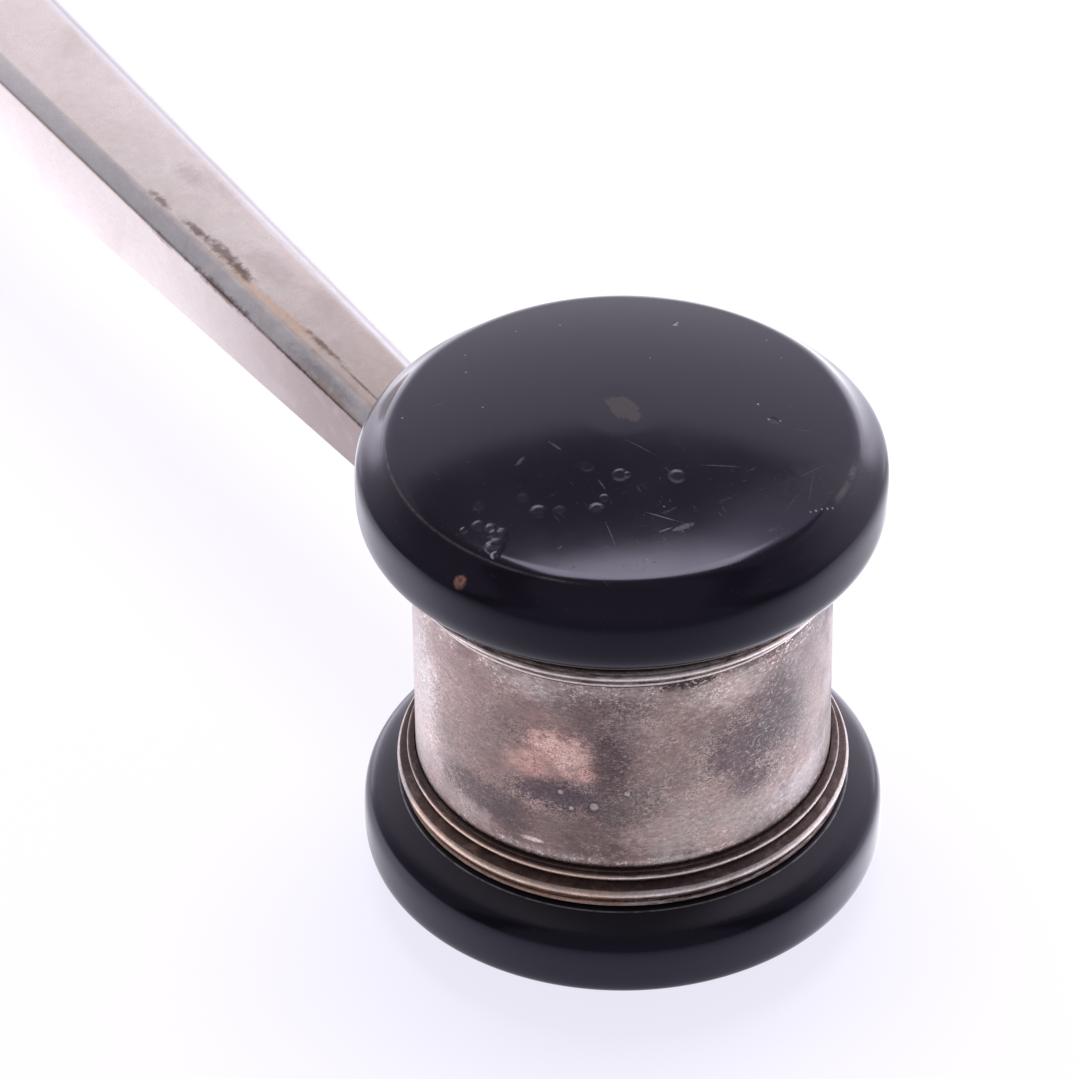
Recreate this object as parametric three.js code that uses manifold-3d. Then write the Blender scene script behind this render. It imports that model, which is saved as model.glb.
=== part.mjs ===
// An auction gavel: two black turned striking caps on a silver-plated barrel, with a tapered
// eight-sided silver handle. Millimetres, +Z along the axis of the head, +X along the handle,
// origin at the centre of the lower striking face.
import * as THREE from "three";
import { mergeVertices } from "three/addons/utils/BufferGeometryUtils.js";
import Module from "manifold-3d";

const wasm = await Module();
wasm.setup();

// Striking caps
const capRadius = 30;
const faceRadius = 26.4;
const landRadius = 4;
const domeRise = 3.6;
const faceToEquator = 5.8;
const equatorToSeat = 5.9;
const capSeatRadius = 25.75;
const spigotRadius = 12;
const spigotLength = 9;

// Barrel between the caps
const barrelRadius = 23.9;
const barrelLength = 36.2;
const sleeveWall = 1;

// Reeded collars, measured from the cap that each one sits against
const collarHeight = 5;
const lipHeight = 0.4;
const lipStandoff = 1.8;
const largeBeadRadius = 1;
const largeBeadStandoff = 2.2;
const smallBeadRadius = 0.62;
const smallBeadStandoff = 1;
const coveStandoff = 0.6;
const collarEdge = 0.25;

// Handle, with its width across Y and its height along Z at both ends
const handleEndX = 160;
const handleWidthAtBarrel = 10.6;
const handleWidthAtEnd = 15.6;
const handleHeightAtBarrel = 8.4;
const handleHeightAtEnd = 15.8;
const chamferAcross = 2.1;
const chamferDown = 1.6;
const shaftWall = 0.9;

// Ferrule round the foot of the handle
const ferruleLength = 6;
const ferruleWall = 1.1;
const ferruleBead = 0.6;
const ferruleBeadWidth = 1.6;

// End cap of the handle
const endCapPlugLength = 4;
const endCapWall = 1.4;
const endCapOverhang = 0.7;
const endCapRim = 2.6;
const endCapShoulder = 0.9;
const endCapShoulderInset = 1.2;
const endCapCrown = 1.2;
const endCapCrownInset = 4.2;

// Steel tang and what holds it
const tangRadius = 2.5;
const tangPastAxis = 3.6;
const anchorRadius = 5.5;
const washerRadius = 5.2;
const washerThickness = 1;
const nutAcrossFlats = 8;
const nutThickness = 4;
const tangPastNut = 1.2;
const coreEndRecess = 12;

// Clearances
const turnedGap = 0.15;
const seatGap = 0.2;
const saddleGap = 0.3;
const cutOverrun = 2;

// Facets of the round pieces
const headSides = 48;
const rodSides = 24;
const domeSteps = 4;
const rimSteps = 5;
const beadSteps = 5;

// Shape of the rim: how far its curve runs straight from each end, as shares of the height there
const creaseRunShare = 0.84;
const creaseSlope = THREE.MathUtils.degToRad(50);
const equatorRunShare = 0.7;
const seatRunShare = 0.75;
const seatSlope = THREE.MathUtils.degToRad(24);

// Heights and places that follow from the sizes above
const equatorHeight = domeRise + faceToEquator;
const capThickness = equatorHeight + equatorToSeat;
const headHeight = barrelLength + 2 * capThickness;
const headMiddle = headHeight / 2;
const sleeveBore = barrelRadius - sleeveWall;
const tangBore = tangRadius + turnedGap;
const coreEndX = handleEndX - coreEndRecess;
const nutX = coreEndX + washerThickness + seatGap;
const tangEndX = nutX + seatGap + nutThickness + tangPastNut;

// A solid turned about +Z from a profile of [radius, height] pairs.
function turned(profile, sides) {
  const points = profile.map(([radius, height]) => new THREE.Vector2(radius, height));
  return new THREE.LatheGeometry(points, sides).rotateX(Math.PI / 2);
}

// A plain cylinder or tube about +Z between two heights.
function rod(radius, bottom, top, sides, bore = 0) {
  const wall = [
    [bore, bottom],
    [radius, bottom],
    [radius, top],
    [bore, top],
  ];
  return turned(bore ? [...wall, [bore, bottom]] : wall, sides);
}

// Turns a piece that stands along +Z so that it lies along +X.
function laidAlongX(geometry) {
  return geometry.rotateY(Math.PI / 2);
}

// Points of an arc in a profile, from one angle to another about a centre.
function arc(centreRadius, centreHeight, radius, from, to, steps) {
  return Array.from({ length: steps + 1 }, (_, i) => {
    const angle = from + ((to - from) * i) / steps;
    return [centreRadius + radius * Math.cos(angle), centreHeight + radius * Math.sin(angle)];
  });
}

// Points of a cubic curve in a profile.
function curve(start, startHandle, endHandle, end, steps) {
  const corners = [start, startHandle, endHandle, end].map((p) => new THREE.Vector2(...p));
  return new THREE.CubicBezierCurve(...corners).getPoints(steps).map((p) => [p.x, p.y]);
}

// Skins a row of rings, each a list of the same number of [y, z] corners at its own x. The row
// closes on itself for a tube; otherwise its first and last rings are covered.
function skinned(rings, closesOnItself = false) {
  const corners = rings[0].outline.length;
  const positions = rings.flatMap(({ x, outline }) => outline.flatMap(([y, z]) => [x, y, z]));
  const index = [];
  const spans = closesOnItself ? rings.length : rings.length - 1;
  for (let ring = 0; ring < spans; ring++) {
    const here = ring * corners;
    const next = ((ring + 1) % rings.length) * corners;
    for (let corner = 0; corner < corners; corner++) {
      const after = (corner + 1) % corners;
      index.push(here + corner, here + after, next + after);
      index.push(here + corner, next + after, next + corner);
    }
  }
  if (!closesOnItself) {
    const last = (rings.length - 1) * corners;
    for (let corner = 1; corner < corners - 1; corner++) {
      index.push(0, corner + 1, corner);
      index.push(last, last + corner, last + corner + 1);
    }
  }
  const geometry = new THREE.BufferGeometry();
  geometry.setAttribute("position", new THREE.Float32BufferAttribute(positions, 3));
  geometry.setIndex(index);
  return geometry;
}

// The eight corners of a section of the handle at x, grown or drawn in by a margin.
function handleSection(x, margin = 0) {
  const share = (x - barrelRadius) / (handleEndX - barrelRadius);
  const width = THREE.MathUtils.lerp(handleWidthAtBarrel, handleWidthAtEnd, share);
  const height = THREE.MathUtils.lerp(handleHeightAtBarrel, handleHeightAtEnd, share);
  const side = width / 2 + margin;
  const top = height / 2 + margin;
  const across = chamferAcross + margin * Math.tan(Math.PI / 8);
  const down = chamferDown + margin * Math.tan(Math.PI / 8);
  return [
    [side, down - top],
    [side, top - down],
    [side - across, top],
    [across - side, top],
    [-side, top - down],
    [-side, down - top],
    [across - side, -top],
    [side - across, -top],
  ];
}

// A solid bar with the section of the handle between two places along it.
function handleBar(fromX, toX, margin) {
  return skinned([
    { x: fromX, outline: handleSection(fromX, margin) },
    { x: toX, outline: handleSection(toX, margin) },
  ]);
}

// A tube with the section of the handle, its outer and inner walls given as margins.
function handleTube(fromX, toX, outerMargin, innerMargin) {
  return skinned(
    [
      { x: fromX, outline: handleSection(fromX, outerMargin) },
      { x: toX, outline: handleSection(toX, outerMargin) },
      { x: toX, outline: handleSection(toX, innerMargin) },
      { x: fromX, outline: handleSection(fromX, innerMargin) },
    ],
    true,
  );
}

// A closed geometry as a solid that can be joined and cut.
function solid(geometry) {
  const bare = geometry.clone();
  bare.deleteAttribute("normal");
  bare.deleteAttribute("uv");
  const merged = mergeVertices(bare);
  return new wasm.Manifold(
    new wasm.Mesh({
      numProp: 3,
      vertProperties: merged.attributes.position.array,
      triVerts: new Uint32Array(merged.index.array),
    }),
  );
}

// A solid back as a geometry with flat faces.
function geometryOf(shape) {
  const { vertProperties, triVerts } = shape.getMesh();
  const geometry = new THREE.BufferGeometry();
  geometry.setAttribute("position", new THREE.BufferAttribute(vertProperties, 3));
  geometry.setIndex(new THREE.BufferAttribute(triVerts, 1));
  return geometry.toNonIndexed();
}

function cut(geometry, ...tools) {
  return geometryOf(tools.reduce((shape, tool) => shape.subtract(solid(tool)), solid(geometry)));
}

// The bore for the tang, lying along +X at the middle of the head.
function tangHole(fromX, toX) {
  return laidAlongX(rod(tangBore, fromX, toX, rodSides));
}

// What the round of the barrel takes out of a piece that seats on it, in the handle's own frame.
function barrelSaddle() {
  return rod(barrelRadius + saddleGap, -barrelLength / 2, barrelLength / 2, headSides);
}

// A striking cap, face down: flat land, dome, crease, bulging rim, seat and spigot.
function strikingCap() {
  const square = faceRadius ** 2 - landRadius ** 2 + domeRise ** 2;
  const domeCentre = square / (2 * domeRise);
  const domeRadius = Math.hypot(landRadius, domeCentre);
  const landAngle = Math.asin(landRadius / domeRadius) - Math.PI / 2;
  const creaseAngle = Math.asin(faceRadius / domeRadius) - Math.PI / 2;
  const dome = arc(0, domeCentre, domeRadius, landAngle, creaseAngle, domeSteps);

  const creaseRun = faceToEquator * creaseRunShare;
  const seatRun = equatorToSeat * seatRunShare;
  const faceSide = curve(
    [faceRadius, domeRise],
    [faceRadius + creaseRun * Math.cos(creaseSlope), domeRise + creaseRun * Math.sin(creaseSlope)],
    [capRadius, equatorHeight - faceToEquator * equatorRunShare],
    [capRadius, equatorHeight],
    rimSteps,
  );
  const seatSide = curve(
    [capRadius, equatorHeight],
    [capRadius, equatorHeight + equatorToSeat * equatorRunShare],
    [capSeatRadius + seatRun * Math.cos(seatSlope), capThickness - seatRun * Math.sin(seatSlope)],
    [capSeatRadius, capThickness],
    rimSteps,
  );
  return turned(
    [
      [0, 0],
      ...dome,
      ...faceSide.slice(1),
      ...seatSide.slice(1),
      [spigotRadius, capThickness],
      [spigotRadius, capThickness + spigotLength],
      [0, capThickness + spigotLength],
    ],
    headSides,
  );
}

// A reeded collar standing on the cap's seat: lip, large bead, cove and small bead.
function collar() {
  const bore = barrelRadius + turnedGap;
  const largeCentre = barrelRadius + largeBeadStandoff - largeBeadRadius;
  const smallCentre = barrelRadius + smallBeadStandoff - smallBeadRadius;
  const smallHeight = collarHeight - collarEdge - smallBeadRadius;
  const quarter = Math.PI / 2;
  return turned(
    [
      [bore, 0],
      [barrelRadius + lipStandoff, 0],
      [barrelRadius + lipStandoff, lipHeight],
      ...arc(largeCentre, lipHeight + largeBeadRadius, largeBeadRadius, -quarter, quarter, beadSteps),
      [barrelRadius + coveStandoff, lipHeight + 2 * largeBeadRadius + collarEdge],
      ...arc(smallCentre, smallHeight, smallBeadRadius, -quarter, quarter, beadSteps),
      [smallCentre, collarHeight],
      [bore, collarHeight],
      [bore, 0],
    ],
    headSides,
  );
}

// The plated tube of the barrel, with the hole that the tang goes through.
function barrelSleeve() {
  const half = barrelLength / 2 - seatGap;
  const tube = rod(barrelRadius, -half, half, headSides, sleeveBore);
  return cut(tube, tangHole(sleeveBore - cutOverrun, barrelRadius + cutOverrun));
}

// The turned wooden core inside the sleeve: a socket at each end for a cap's spigot, an axial
// bore for the anchor and a cross bore for the tang.
function headCore() {
  const radius = sleeveBore - turnedGap;
  const half = barrelLength / 2 - seatGap;
  const socketRadius = spigotRadius + turnedGap;
  const socketFloor = barrelLength / 2 - spigotLength - seatGap;
  const bore = anchorRadius + turnedGap;
  const body = turned(
    [
      [bore, -socketFloor],
      [socketRadius, -socketFloor],
      [socketRadius, -half],
      [radius, -half],
      [radius, half],
      [socketRadius, half],
      [socketRadius, socketFloor],
      [bore, socketFloor],
      [bore, -socketFloor],
    ],
    headSides,
  );
  return cut(body, tangHole(0, radius + cutOverrun));
}

// The steel cross dowel at the heart of the head, drilled for the tang.
function tangAnchor() {
  const half = barrelLength / 2 - spigotLength - seatGap;
  const dowel = rod(anchorRadius, -half, half, rodSides);
  return cut(dowel, tangHole(-tangPastAxis - seatGap, anchorRadius + cutOverrun));
}

// The rod that runs from the anchor through the handle to the nut at its end.
function tang() {
  return laidAlongX(rod(tangRadius, -tangPastAxis, tangEndX, rodSides));
}

// The hollow eight-sided silver shaft, seated on the round of the barrel.
function handleShaft() {
  return cut(handleTube(0, handleEndX, 0, -shaftWall), barrelSaddle());
}

// The wooden filling of the shaft, bored for the tang.
function handleCore() {
  const bar = handleBar(0, coreEndX, -shaftWall - turnedGap);
  return cut(bar, barrelSaddle(), tangHole(-cutOverrun, coreEndX + cutOverrun));
}

// The socket soldered round the foot of the handle, with a raised bead at its outer end.
function handleFerrule() {
  const endX = barrelRadius + ferruleLength;
  const beadX = endX - ferruleBeadWidth;
  const bead = ferruleWall + ferruleBead;
  const rings = [
    [0, ferruleWall],
    [beadX, ferruleWall],
    [beadX, bead],
    [endX, bead],
    [endX, turnedGap],
    [0, turnedGap],
  ];
  const sleeve = skinned(
    rings.map(([x, margin]) => ({ x, outline: handleSection(x, margin) })),
    true,
  );
  return cut(sleeve, barrelSaddle());
}

// The end cap: a hollow plug inside the shaft's mouth, a rim over its end, a shoulder and a
// low crown.
function handleEndCap() {
  const plug = -shaftWall - turnedGap;
  const plugX = handleEndX - endCapPlugLength;
  const seatX = handleEndX + seatGap;
  const rimX = seatX + endCapRim;
  const shoulderX = rimX + endCapShoulder;
  const rings = [
    [plugX, plug],
    [seatX, plug],
    [seatX, endCapOverhang],
    [rimX, endCapOverhang],
    [shoulderX, endCapOverhang - endCapShoulderInset],
    [shoulderX + endCapCrown, endCapOverhang - endCapCrownInset],
  ];
  const outside = skinned(rings.map(([x, margin]) => ({ x, outline: handleSection(x, margin) })));
  return cut(outside, handleBar(plugX - cutOverrun, rimX - endCapWall, plug - endCapWall));
}

// The washer and the hexagonal nut that draw the handle against the barrel.
function tangWasher() {
  const top = coreEndX + seatGap + washerThickness;
  return laidAlongX(rod(washerRadius, coreEndX + seatGap, top, rodSides, tangBore));
}

function tangNut() {
  const cornerRadius = nutAcrossFlats / 2 / Math.cos(Math.PI / 6);
  const blank = rod(cornerRadius, nutX + seatGap, nutX + seatGap + nutThickness, 6);
  return cut(laidAlongX(blank), tangHole(nutX, tangEndX + cutOverrun));
}

// Finishes, with the colour, roughness and metalness of each
const finishes = {
  ebonised: { color: 0x14121a, roughness: 0.22, metalness: 0 },
  plate: { color: 0x9a8f8e, roughness: 0.38, metalness: 1 },
  hardwood: { color: 0x7a5233, roughness: 0.7, metalness: 0 },
  steel: { color: 0x8d9094, roughness: 0.42, metalness: 1 },
};

function named(name, geometry, finish, z = 0, turnedOver = false) {
  const mesh = new THREE.Mesh(geometry, new THREE.MeshStandardMaterial(finishes[finish]));
  mesh.name = name;
  mesh.position.z = z;
  mesh.rotation.x = turnedOver ? Math.PI : 0;
  return mesh;
}

// The head, placed upwards from the lower striking face.
const head = new THREE.Group();
head.add(
  named("lower_striking_cap", strikingCap(), "ebonised"),
  named("upper_striking_cap", strikingCap(), "ebonised", headHeight, true),
  named("lower_collar", collar(), "plate", capThickness + seatGap),
  named("upper_collar", collar(), "plate", headHeight - capThickness - seatGap, true),
  named("barrel_sleeve", barrelSleeve(), "plate", headMiddle),
  named("head_core", headCore(), "hardwood", headMiddle),
  named("tang_anchor", tangAnchor(), "steel", headMiddle),
);

// The handle, lying along +X at the middle of the head.
const handle = new THREE.Group();
handle.position.z = headMiddle;
handle.add(
  named("handle_ferrule", handleFerrule(), "plate"),
  named("handle_shaft", handleShaft(), "plate"),
  named("handle_core", handleCore(), "hardwood"),
  named("handle_tang", tang(), "steel"),
  named("tang_washer", tangWasher(), "steel"),
  named("tang_nut", tangNut(), "steel"),
  named("handle_end_cap", handleEndCap(), "plate"),
);

const gavel = new THREE.Group();
gavel.add(head, handle);

export default gavel;
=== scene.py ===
from math import cos, pi, radians, sin, sqrt, tan

import bmesh
import bpy
from mathutils import Matrix, Quaternion, Vector
from mathutils.geometry import interpolate_bezier


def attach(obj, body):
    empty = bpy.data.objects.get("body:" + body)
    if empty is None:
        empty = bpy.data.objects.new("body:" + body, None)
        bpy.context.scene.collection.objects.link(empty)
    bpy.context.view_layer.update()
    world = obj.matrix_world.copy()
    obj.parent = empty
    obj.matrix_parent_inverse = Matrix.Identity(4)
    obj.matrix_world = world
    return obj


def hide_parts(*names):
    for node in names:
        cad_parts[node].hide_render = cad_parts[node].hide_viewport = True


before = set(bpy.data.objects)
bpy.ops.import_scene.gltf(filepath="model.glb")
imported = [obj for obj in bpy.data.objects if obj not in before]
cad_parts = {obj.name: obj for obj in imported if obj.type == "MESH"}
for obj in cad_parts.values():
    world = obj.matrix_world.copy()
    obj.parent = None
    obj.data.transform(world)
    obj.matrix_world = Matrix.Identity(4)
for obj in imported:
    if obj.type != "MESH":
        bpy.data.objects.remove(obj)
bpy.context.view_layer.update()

# Sizes below are in millimetres, and a mesh is made in metres.
MM = 0.001

# Head
CAP_RADIUS = 30
FACE_RADIUS = 26.4
LAND_RADIUS = 4
DOME_RISE = 3.6
EQUATOR = 9.4
CAP_THICKNESS = 15.3
SEAT_RADIUS = 25.75
SPIGOT_RADIUS = 12
SPIGOT_LENGTH = 9
CREASE_ROUNDING = 0.95
SEAT_ROUNDING = 0.25
BARREL_RADIUS = 23.9
BARREL_LENGTH = 36.2
SLEEVE_WALL = 1
SEAT_GAP = 0.2
TURNED_GAP = 0.15
HEAD_HEIGHT = BARREL_LENGTH + 2 * CAP_THICKNESS
HEAD_MIDDLE = HEAD_HEIGHT / 2

# Curves of a cap's outline: the slope at each end, in degrees, and how far the curve keeps to it
DOME_LEAVES = (2.4, 7.58)
DOME_ARRIVES = (15.9, 7.58)
FACE_SIDE_LEAVES = (50, 4.87)
FACE_SIDE_ARRIVES = (90, 4.06)
SEAT_SIDE_LEAVES = (90, 4.13)
SEAT_SIDE_ARRIVES = (156, 4.42)

# Collars, measured outwards from the barrel and upwards from the cap
COLLAR_HEIGHT = 4.5
FOOT_STANDOFF = 1.2
LIP_FOOT = 0.3
LIP_TOP = 0.85
LIP_STANDOFF = 1.75
LIP_BEVEL = 0.1
LARGE_BEAD = 0.88
LARGE_BEAD_FOOT = 1.1
LARGE_BEAD_STANDOFF = 2.15
SMALL_BEAD = 0.5
SMALL_BEAD_STANDOFF = 1
COVE_STANDOFF = 0.55
COLLAR_EDGE = 0.25

# Handle, eight-sided and growing from the barrel to its end
HANDLE_FOOT = BARREL_RADIUS - 2
HANDLE_END = 160
WIDTH_AT_BARREL = 11
WIDTH_AT_END = 16
HEIGHT_AT_BARREL = 8.4
HEIGHT_AT_END = 15.8
CHAMFER_ACROSS = 2.3
CHAMFER_DOWN = 1.3
SHAFT_WALL = 0.9
SHAFT_RINGS = (60, 100)
SADDLE_GAP = 0.3
EDGE_ROUNDING = 0.5
FITTING_ROUNDING = 0.3
FERRULE_LENGTH = 6
FERRULE_WALL = 1.1
FERRULE_BEAD = 0.6
FERRULE_BEAD_WIDTH = 1.6
END_CAP_PLUG = 4
END_CAP_OVERHANG = 0.7
END_CAP_RIM = 2.6

# The end cap's shoulder and crown: how far beyond its rim and in from it
SHOULDER = (0.9, 1.2)
CROWN = (2.1, 4.2)

# How finely the pieces are drawn and welded
TURN_STEPS = 192
DOME_STEPS = 18
FACE_SIDE_STEPS = 16
SEAT_SIDE_STEPS = 18
LARGE_BEAD_STEPS = 7
SMALL_BEAD_STEPS = 6
CREASE_SEGMENTS = 5
SEAT_SEGMENTS = 3
HANDLE_SEGMENTS = 4
SLEEVE_SHARES = (-1, -0.6, -0.2, 0.2, 0.6, 1)
CIRCLE_PULL = 0.5523
WELD = 0.002
RING_TOLERANCE = 0.01
BEVELLED_ANGLE = radians(12)
SHARP_ANGLE = radians(32)

# Camera, fitted to the photograph, in millimetres and degrees
CAMERA_PLACE = (-535.92, 355.19, 558.66)
CAMERA_AIM = (1.4, 10.2, 51.9)
CAMERA_ROLL = 0.69
CAMERA_LENS = 242.7


# Meshes

def curve(start, leaves, end, arrives, steps):
    """Points of a profile between two places, given the slope and the pull of the curve at each."""
    a, b = radians(leaves[0]), radians(arrives[0])
    knots = (
        (start[0], start[1], 0),
        (start[0] + leaves[1] * cos(a), start[1] + leaves[1] * sin(a), 0),
        (end[0] - arrives[1] * cos(b), end[1] - arrives[1] * sin(b), 0),
        (end[0], end[1], 0),
    )
    return [(p[0], p[1]) for p in interpolate_bezier(*[Vector(k) for k in knots], steps + 1)]


def half_round(radius, centre_radius, foot_height, steps):
    """A bead's outline, from its foot out to its crown and back in."""
    pull = CIRCLE_PULL * radius
    foot = (centre_radius, foot_height)
    crown = (centre_radius + radius, foot_height + radius)
    head = (centre_radius, foot_height + 2 * radius)
    outwards = curve(foot, (0, pull), crown, (90, pull), steps)
    inwards = curve(crown, (90, pull), head, (180, pull), steps)
    return outwards + inwards[1:]


def finished(mesh, name, slot, *nodes):
    """Turns a bmesh into a piece of the gavel that stands for its CAD nodes."""
    bmesh.ops.remove_doubles(mesh, verts=mesh.verts, dist=WELD * MM)
    bmesh.ops.recalc_face_normals(mesh, faces=mesh.faces)
    for face in mesh.faces:
        face.smooth = True
    for edge in mesh.edges:
        edge.smooth = edge.calc_face_angle(0) < SHARP_ANGLE
    data = bpy.data.meshes.new(name)
    mesh.to_mesh(data)
    mesh.free()
    piece = bpy.data.objects.new(name, data)
    bpy.context.scene.collection.objects.link(piece)
    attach(piece, "root")
    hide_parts(*nodes)
    return piece


def spun(profile, closes=False):
    """A bmesh turned about the axis of the head from a profile of (radius, height) pairs."""
    mesh = bmesh.new()
    corners = [mesh.verts.new((r * MM, 0, h * MM)) for r, h in profile]
    for a, b in zip(corners, corners[1:]):
        mesh.edges.new((a, b))
    if closes:
        mesh.edges.new((corners[-1], corners[0]))
    bmesh.ops.spin(
        mesh, geom=mesh.verts[:] + mesh.edges[:], cent=(0, 0, 0), axis=(0, 0, 1), dvec=(0, 0, 0),
        angle=2 * pi, steps=TURN_STEPS, use_merge=True, use_duplicate=False,
    )
    bmesh.ops.remove_doubles(mesh, verts=mesh.verts, dist=WELD * MM)
    return mesh


def moved_up(mesh, height, turned_over=False):
    """Puts a turned piece at its height, upside down where it belongs to the top of the head."""
    if turned_over:
        bmesh.ops.rotate(mesh, verts=mesh.verts, cent=(0, 0, 0), matrix=Matrix.Rotation(pi, 3, "X"))
    bmesh.ops.translate(mesh, verts=mesh.verts, vec=(0, 0, height * MM))
    return mesh


def ring(mesh, radius, height):
    """The edges of a turned piece that run round it at a radius and a height."""
    return [
        edge for edge in mesh.edges
        if all(abs(v.co.z - height * MM) < RING_TOLERANCE * MM for v in edge.verts)
        and all(abs(v.co.xy.length - radius * MM) < RING_TOLERANCE * MM for v in edge.verts)
    ]


def bevelled(mesh, edges, offset, segments, clamped=False):
    """Rounds some edges of a mesh."""
    bmesh.ops.bevel(
        mesh, geom=edges, offset=offset * MM, offset_type="OFFSET", segments=segments,
        profile=0.5, affect="EDGES", clamp_overlap=clamped, material=-1,
    )
    return mesh


def striking_cap():
    """A cap lying on its face: land, low dome, rounded crease, bulging rim, seat and spigot."""
    crease = (FACE_RADIUS, DOME_RISE)
    equator = (CAP_RADIUS, EQUATOR)
    seat = (SEAT_RADIUS, CAP_THICKNESS)
    dome = curve((LAND_RADIUS, 0), DOME_LEAVES, crease, DOME_ARRIVES, DOME_STEPS)
    face_side = curve(crease, FACE_SIDE_LEAVES, equator, FACE_SIDE_ARRIVES, FACE_SIDE_STEPS)
    seat_side = curve(equator, SEAT_SIDE_LEAVES, seat, SEAT_SIDE_ARRIVES, SEAT_SIDE_STEPS)
    spigot_end = CAP_THICKNESS + SPIGOT_LENGTH
    spigot = [(SPIGOT_RADIUS, CAP_THICKNESS), (SPIGOT_RADIUS, spigot_end), (0, spigot_end)]
    mesh = spun([(0, 0)] + dome + face_side[1:] + seat_side[1:] + spigot)
    bevelled(mesh, ring(mesh, *crease), CREASE_ROUNDING, CREASE_SEGMENTS)
    return bevelled(mesh, ring(mesh, *seat), SEAT_ROUNDING, SEAT_SEGMENTS)


def reeded_collar():
    """A collar standing on its cap: narrow foot, lip, large bead, cove and small bead."""
    bore = BARREL_RADIUS + TURNED_GAP
    foot = BARREL_RADIUS + FOOT_STANDOFF
    lip = BARREL_RADIUS + LIP_STANDOFF
    cove = BARREL_RADIUS + COVE_STANDOFF
    large_centre = BARREL_RADIUS + LARGE_BEAD_STANDOFF - LARGE_BEAD
    small_centre = BARREL_RADIUS + SMALL_BEAD_STANDOFF - SMALL_BEAD
    small_foot = COLLAR_HEIGHT - COLLAR_EDGE - 2 * SMALL_BEAD
    large = half_round(LARGE_BEAD, large_centre, LARGE_BEAD_FOOT, LARGE_BEAD_STEPS)
    small = half_round(SMALL_BEAD, small_centre, small_foot, SMALL_BEAD_STEPS)
    profile = [(bore, 0), (foot, 0), (foot, LIP_FOOT)]
    profile += [(lip - LIP_BEVEL, LIP_FOOT), (lip, LIP_FOOT + LIP_BEVEL)]
    profile += [(lip, LIP_TOP - LIP_BEVEL), (lip - LIP_BEVEL, LIP_TOP), (foot, LIP_TOP)]
    profile += large + [(cove, (large[-1][1] + small_foot) / 2)] + small
    profile += [(small[-1][0], COLLAR_HEIGHT), (bore, COLLAR_HEIGHT)]
    return spun(profile, closes=True)


def barrel_sleeve():
    """The plated tube between the collars."""
    half = BARREL_LENGTH / 2 - SEAT_GAP
    bore = BARREL_RADIUS - SLEEVE_WALL
    heights = [half * share for share in SLEEVE_SHARES]
    profile = [(BARREL_RADIUS, h) for h in heights] + [(bore, h) for h in reversed(heights)]
    return spun(profile, closes=True)


def section(mesh, x, margin):
    """Draws one eight-sided ring of the handle at x, grown by a margin, and gives its edges."""
    share = (x - BARREL_RADIUS) / (HANDLE_END - BARREL_RADIUS)
    side = (WIDTH_AT_BARREL + share * (WIDTH_AT_END - WIDTH_AT_BARREL)) / 2 + margin
    top = (HEIGHT_AT_BARREL + share * (HEIGHT_AT_END - HEIGHT_AT_BARREL)) / 2 + margin
    growth = margin * tan(pi / 8)
    across = CHAMFER_ACROSS + growth
    down = CHAMFER_DOWN + growth
    upper = [(side, top - down), (side - across, top), (across - side, top), (-side, top - down)]
    outline = upper + [(-y, -z) for y, z in upper]
    corners = [mesh.verts.new((x * MM, y * MM, (HEAD_MIDDLE + z) * MM)) for y, z in outline]
    return [mesh.edges.new((a, b)) for a, b in zip(corners, corners[1:] + corners[:1])]


def eight_sided(sections, tube=False):
    """Joins rings of the handle, each an (x, margin) pair, into a bar, or into a tube."""
    mesh = bmesh.new()
    rings = [section(mesh, x, margin) for x, margin in sections]
    for here, after in zip(rings, rings[1:] + (rings[:1] if tube else [])):
        bmesh.ops.bridge_loops(mesh, edges=here + after)
    if not tube:
        bmesh.ops.holes_fill(mesh, edges=rings[0] + rings[-1], sides=8)
    bmesh.ops.recalc_face_normals(mesh, faces=mesh.faces)
    return mesh


def rounded(mesh, offset):
    """Rounds the edges that stand out on an eight-sided piece."""
    outer = [
        edge for edge in mesh.edges
        if edge.is_convex and edge.calc_face_angle(0) > BEVELLED_ANGLE
    ]
    return bevelled(mesh, outer, offset, HANDLE_SEGMENTS, clamped=True)


def seated_on_barrel(mesh):
    """Curves the inner end of a piece of the handle so that it sits on the round of the barrel."""
    inner = [v for v in mesh.verts if v.co.x < (HANDLE_FOOT + 1) * MM]
    reach = (BARREL_RADIUS + SADDLE_GAP) * MM
    for corner in inner:
        corner.co.x = sqrt(reach ** 2 - corner.co.y ** 2)
    return mesh


def handle_shaft():
    """The hollow silver shaft."""
    outside = [(x, 0) for x in (HANDLE_FOOT, *SHAFT_RINGS, HANDLE_END)]
    bore = [(HANDLE_END, -SHAFT_WALL), (HANDLE_FOOT, -SHAFT_WALL)]
    return seated_on_barrel(rounded(eight_sided(outside + bore, tube=True), EDGE_ROUNDING))


def handle_ferrule():
    """The socket round the foot of the handle, with a raised bead at its outer end."""
    end = BARREL_RADIUS + FERRULE_LENGTH
    bead = end - FERRULE_BEAD_WIDTH
    raised = FERRULE_WALL + FERRULE_BEAD
    outside = [(HANDLE_FOOT, FERRULE_WALL), (bead, FERRULE_WALL), (bead, raised), (end, raised)]
    bore = [(end, TURNED_GAP), (HANDLE_FOOT, TURNED_GAP)]
    return seated_on_barrel(rounded(eight_sided(outside + bore, tube=True), FITTING_ROUNDING))


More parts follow.
